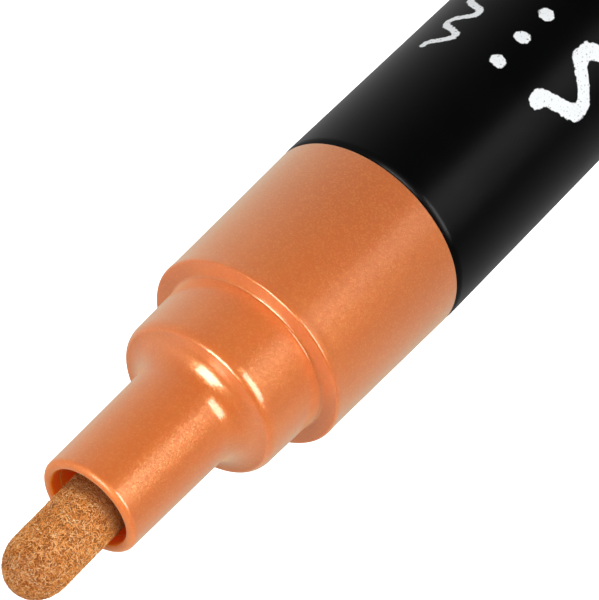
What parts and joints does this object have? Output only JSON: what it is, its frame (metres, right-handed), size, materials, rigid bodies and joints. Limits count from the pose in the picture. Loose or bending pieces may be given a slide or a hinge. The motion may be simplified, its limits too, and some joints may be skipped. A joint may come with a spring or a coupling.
{
  "type": "liquid chalk marker",
  "caption": "Pump-action liquid chalk marker with a fibre bullet nib, a stepped copper-coloured front section, a straight black barrel and a copper push-on cap posted on its tail.",
  "frame": {"origin": "centre of the posted cap's flat end, which the marker stands on", "axes": "+Z along the marker's axis from the posted cap to the nib; X and Y are free, and the mixing balls lie along X"},
  "size_m": [0.017, 0.017, 0.159],
  "materials": {
    "black_plastic": "satin",
    "copper_plastic": "pearlescent satin",
    "nib_fibre": "matted fibre, ink-soaked",
    "white_plastic": "moulded",
    "liner_plastic": "translucent soft moulding",
    "seal_rubber": "matt",
    "spring_steel": "drawn wire",
    "ball_steel": "polished"
  },
  "bodies": {
    "barrel": {"barrel": "black_plastic", "front_section": "copper_plastic", "section_o_ring": "seal_rubber", "valve_body": "white_plastic", "valve_gasket": "seal_rubber", "spring_retainer": "white_plastic", "valve_spring": "spring_steel", "tail_plug": "copper_plastic"},
    "plunger": {"valve_stem": "white_plastic", "stem_seal": "seal_rubber"},
    "nib": {"nib": "nib_fibre"},
    "cap": {"cap_shell": "copper_plastic", "cap_liner": "liner_plastic"},
    "ball_a": {"mixing_ball_a": "ball_steel"},
    "ball_b": {"mixing_ball_b": "ball_steel"}
  },
  "joints": [
    {"name": "nib_pump", "type": "slide", "parent": "barrel", "child": "plunger", "axis": [0, 0, 1], "range_m": [-0.003, 0], "stiffness_N_per_m": 350, "springref_m": 0.0025, "deforming": ["valve_spring"]},
    {"name": "nib_pull", "type": "slide", "parent": "plunger", "child": "nib", "axis": [0, 0, 1], "range_m": [0, 0.026]},
    {"name": "cap_pull", "type": "slide", "parent": "barrel", "child": "cap", "axis": [0, 0, -1], "range_m": [0, 0.04]},
    {"name": "ball_a_roll", "type": "slide", "parent": "barrel", "child": "ball_a", "axis": [0, 0, 1], "range_m": [0, 0.061]},
    {"name": "ball_b_roll", "type": "slide", "parent": "barrel", "child": "ball_b", "axis": [0, 0, 1], "range_m": [0, 0.061]}
  ]
}
